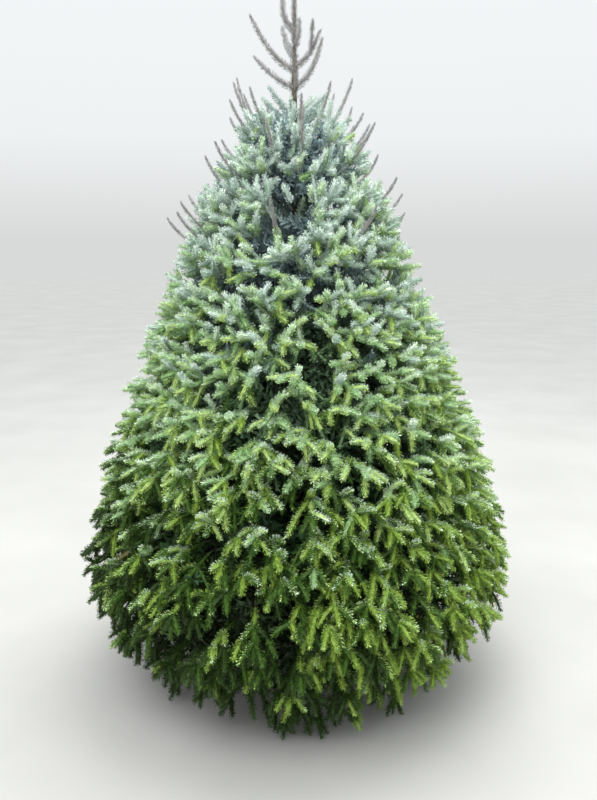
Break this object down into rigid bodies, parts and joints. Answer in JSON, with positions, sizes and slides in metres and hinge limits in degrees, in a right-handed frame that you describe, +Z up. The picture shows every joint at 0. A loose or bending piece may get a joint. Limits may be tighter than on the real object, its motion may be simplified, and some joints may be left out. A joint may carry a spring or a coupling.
{
  "type": "christmas tree",
  "caption": "Young living fir grown as a Christmas tree: a dense cone of needled boughs down to the ground, a straight trunk and a bare spiky leader.",
  "frame": {"origin": "centre of the trunk's flat cut at ground level", "axes": "+Z up along the trunk, -Y towards the front of the picture, +X to its right"},
  "size_m": [1.5857, 1.5619, 2.46],
  "materials": {
    "bark": "rough grey-brown fir bark with fine cracks",
    "young_bark": "matte grey-brown bark of young shoots",
    "needles_fresh": "satin yellow-green needles",
    "needles_green": "satin mid-green needles",
    "needles_sage": "satin sage-green needles with a pale bloom",
    "needles_blue": "satin blue-green needles with a silvery bloom"
  },
  "bodies": {
    "root": {"bough_hem_1": "bark", "bough_hem_2": "bark", "bough_hem_3": "bark", "bough_hem_4": "bark", "bough_hem_5": "bark", "bough_hem_6": "bark", "bough_high_1": "bark", "bough_high_2": "bark", "bough_high_3": "bark", "bough_high_4": "bark", "bough_low_1": "bark", "bough_low_2": "bark", "bough_low_3": "bark", "bough_low_4": "bark", "bough_low_5": "bark", "bough_low_6": "bark", "bough_middle_1": "bark", "bough_middle_2": "bark", "bough_middle_3": "bark", "bough_middle_4": "bark", "bough_middle_5": "bark", "foliage_crest_1": "needles_blue", "foliage_crest_2": "needles_blue", "foliage_crest_3": "needles_blue", "foliage_hem_1": "needles_fresh", "foliage_hem_2": "needles_fresh", "foliage_hem_3": "needles_fresh", "foliage_hem_4": "needles_fresh", "foliage_hem_5": "needles_fresh", "foliage_hem_6": "needles_fresh", "foliage_high_1": "needles_sage", "foliage_high_2": "needles_sage", "foliage_high_3": "needles_sage", "foliage_high_4": "needles_sage", "foliage_low_1": "needles_green", "foliage_low_2": "needles_green", "foliage_low_3": "needles_green", "foliage_low_4": "needles_green", "foliage_low_5": "needles_green", "foliage_low_6": "needles_green", "foliage_middle_1": "needles_sage", "foliage_middle_2": "needles_sage", "foliage_middle_3": "needles_sage", "foliage_middle_4": "needles_sage", "foliage_middle_5": "needles_sage", "foliage_shoulder_1": "needles_blue", "foliage_shoulder_2": "needles_blue", "foliage_shoulder_3": "needles_blue", "leader_twig_1": "young_bark", "leader_twig_2": "young_bark", "leader_twig_3": "young_bark", "leader_twig_4": "young_bark", "leader_twig_5": "young_bark", "leader_twig_6": "young_bark", "leader_twig_7": "young_bark", "leader_twig_8": "young_bark", "trunk": "bark"}
  },
  "joints": []
}
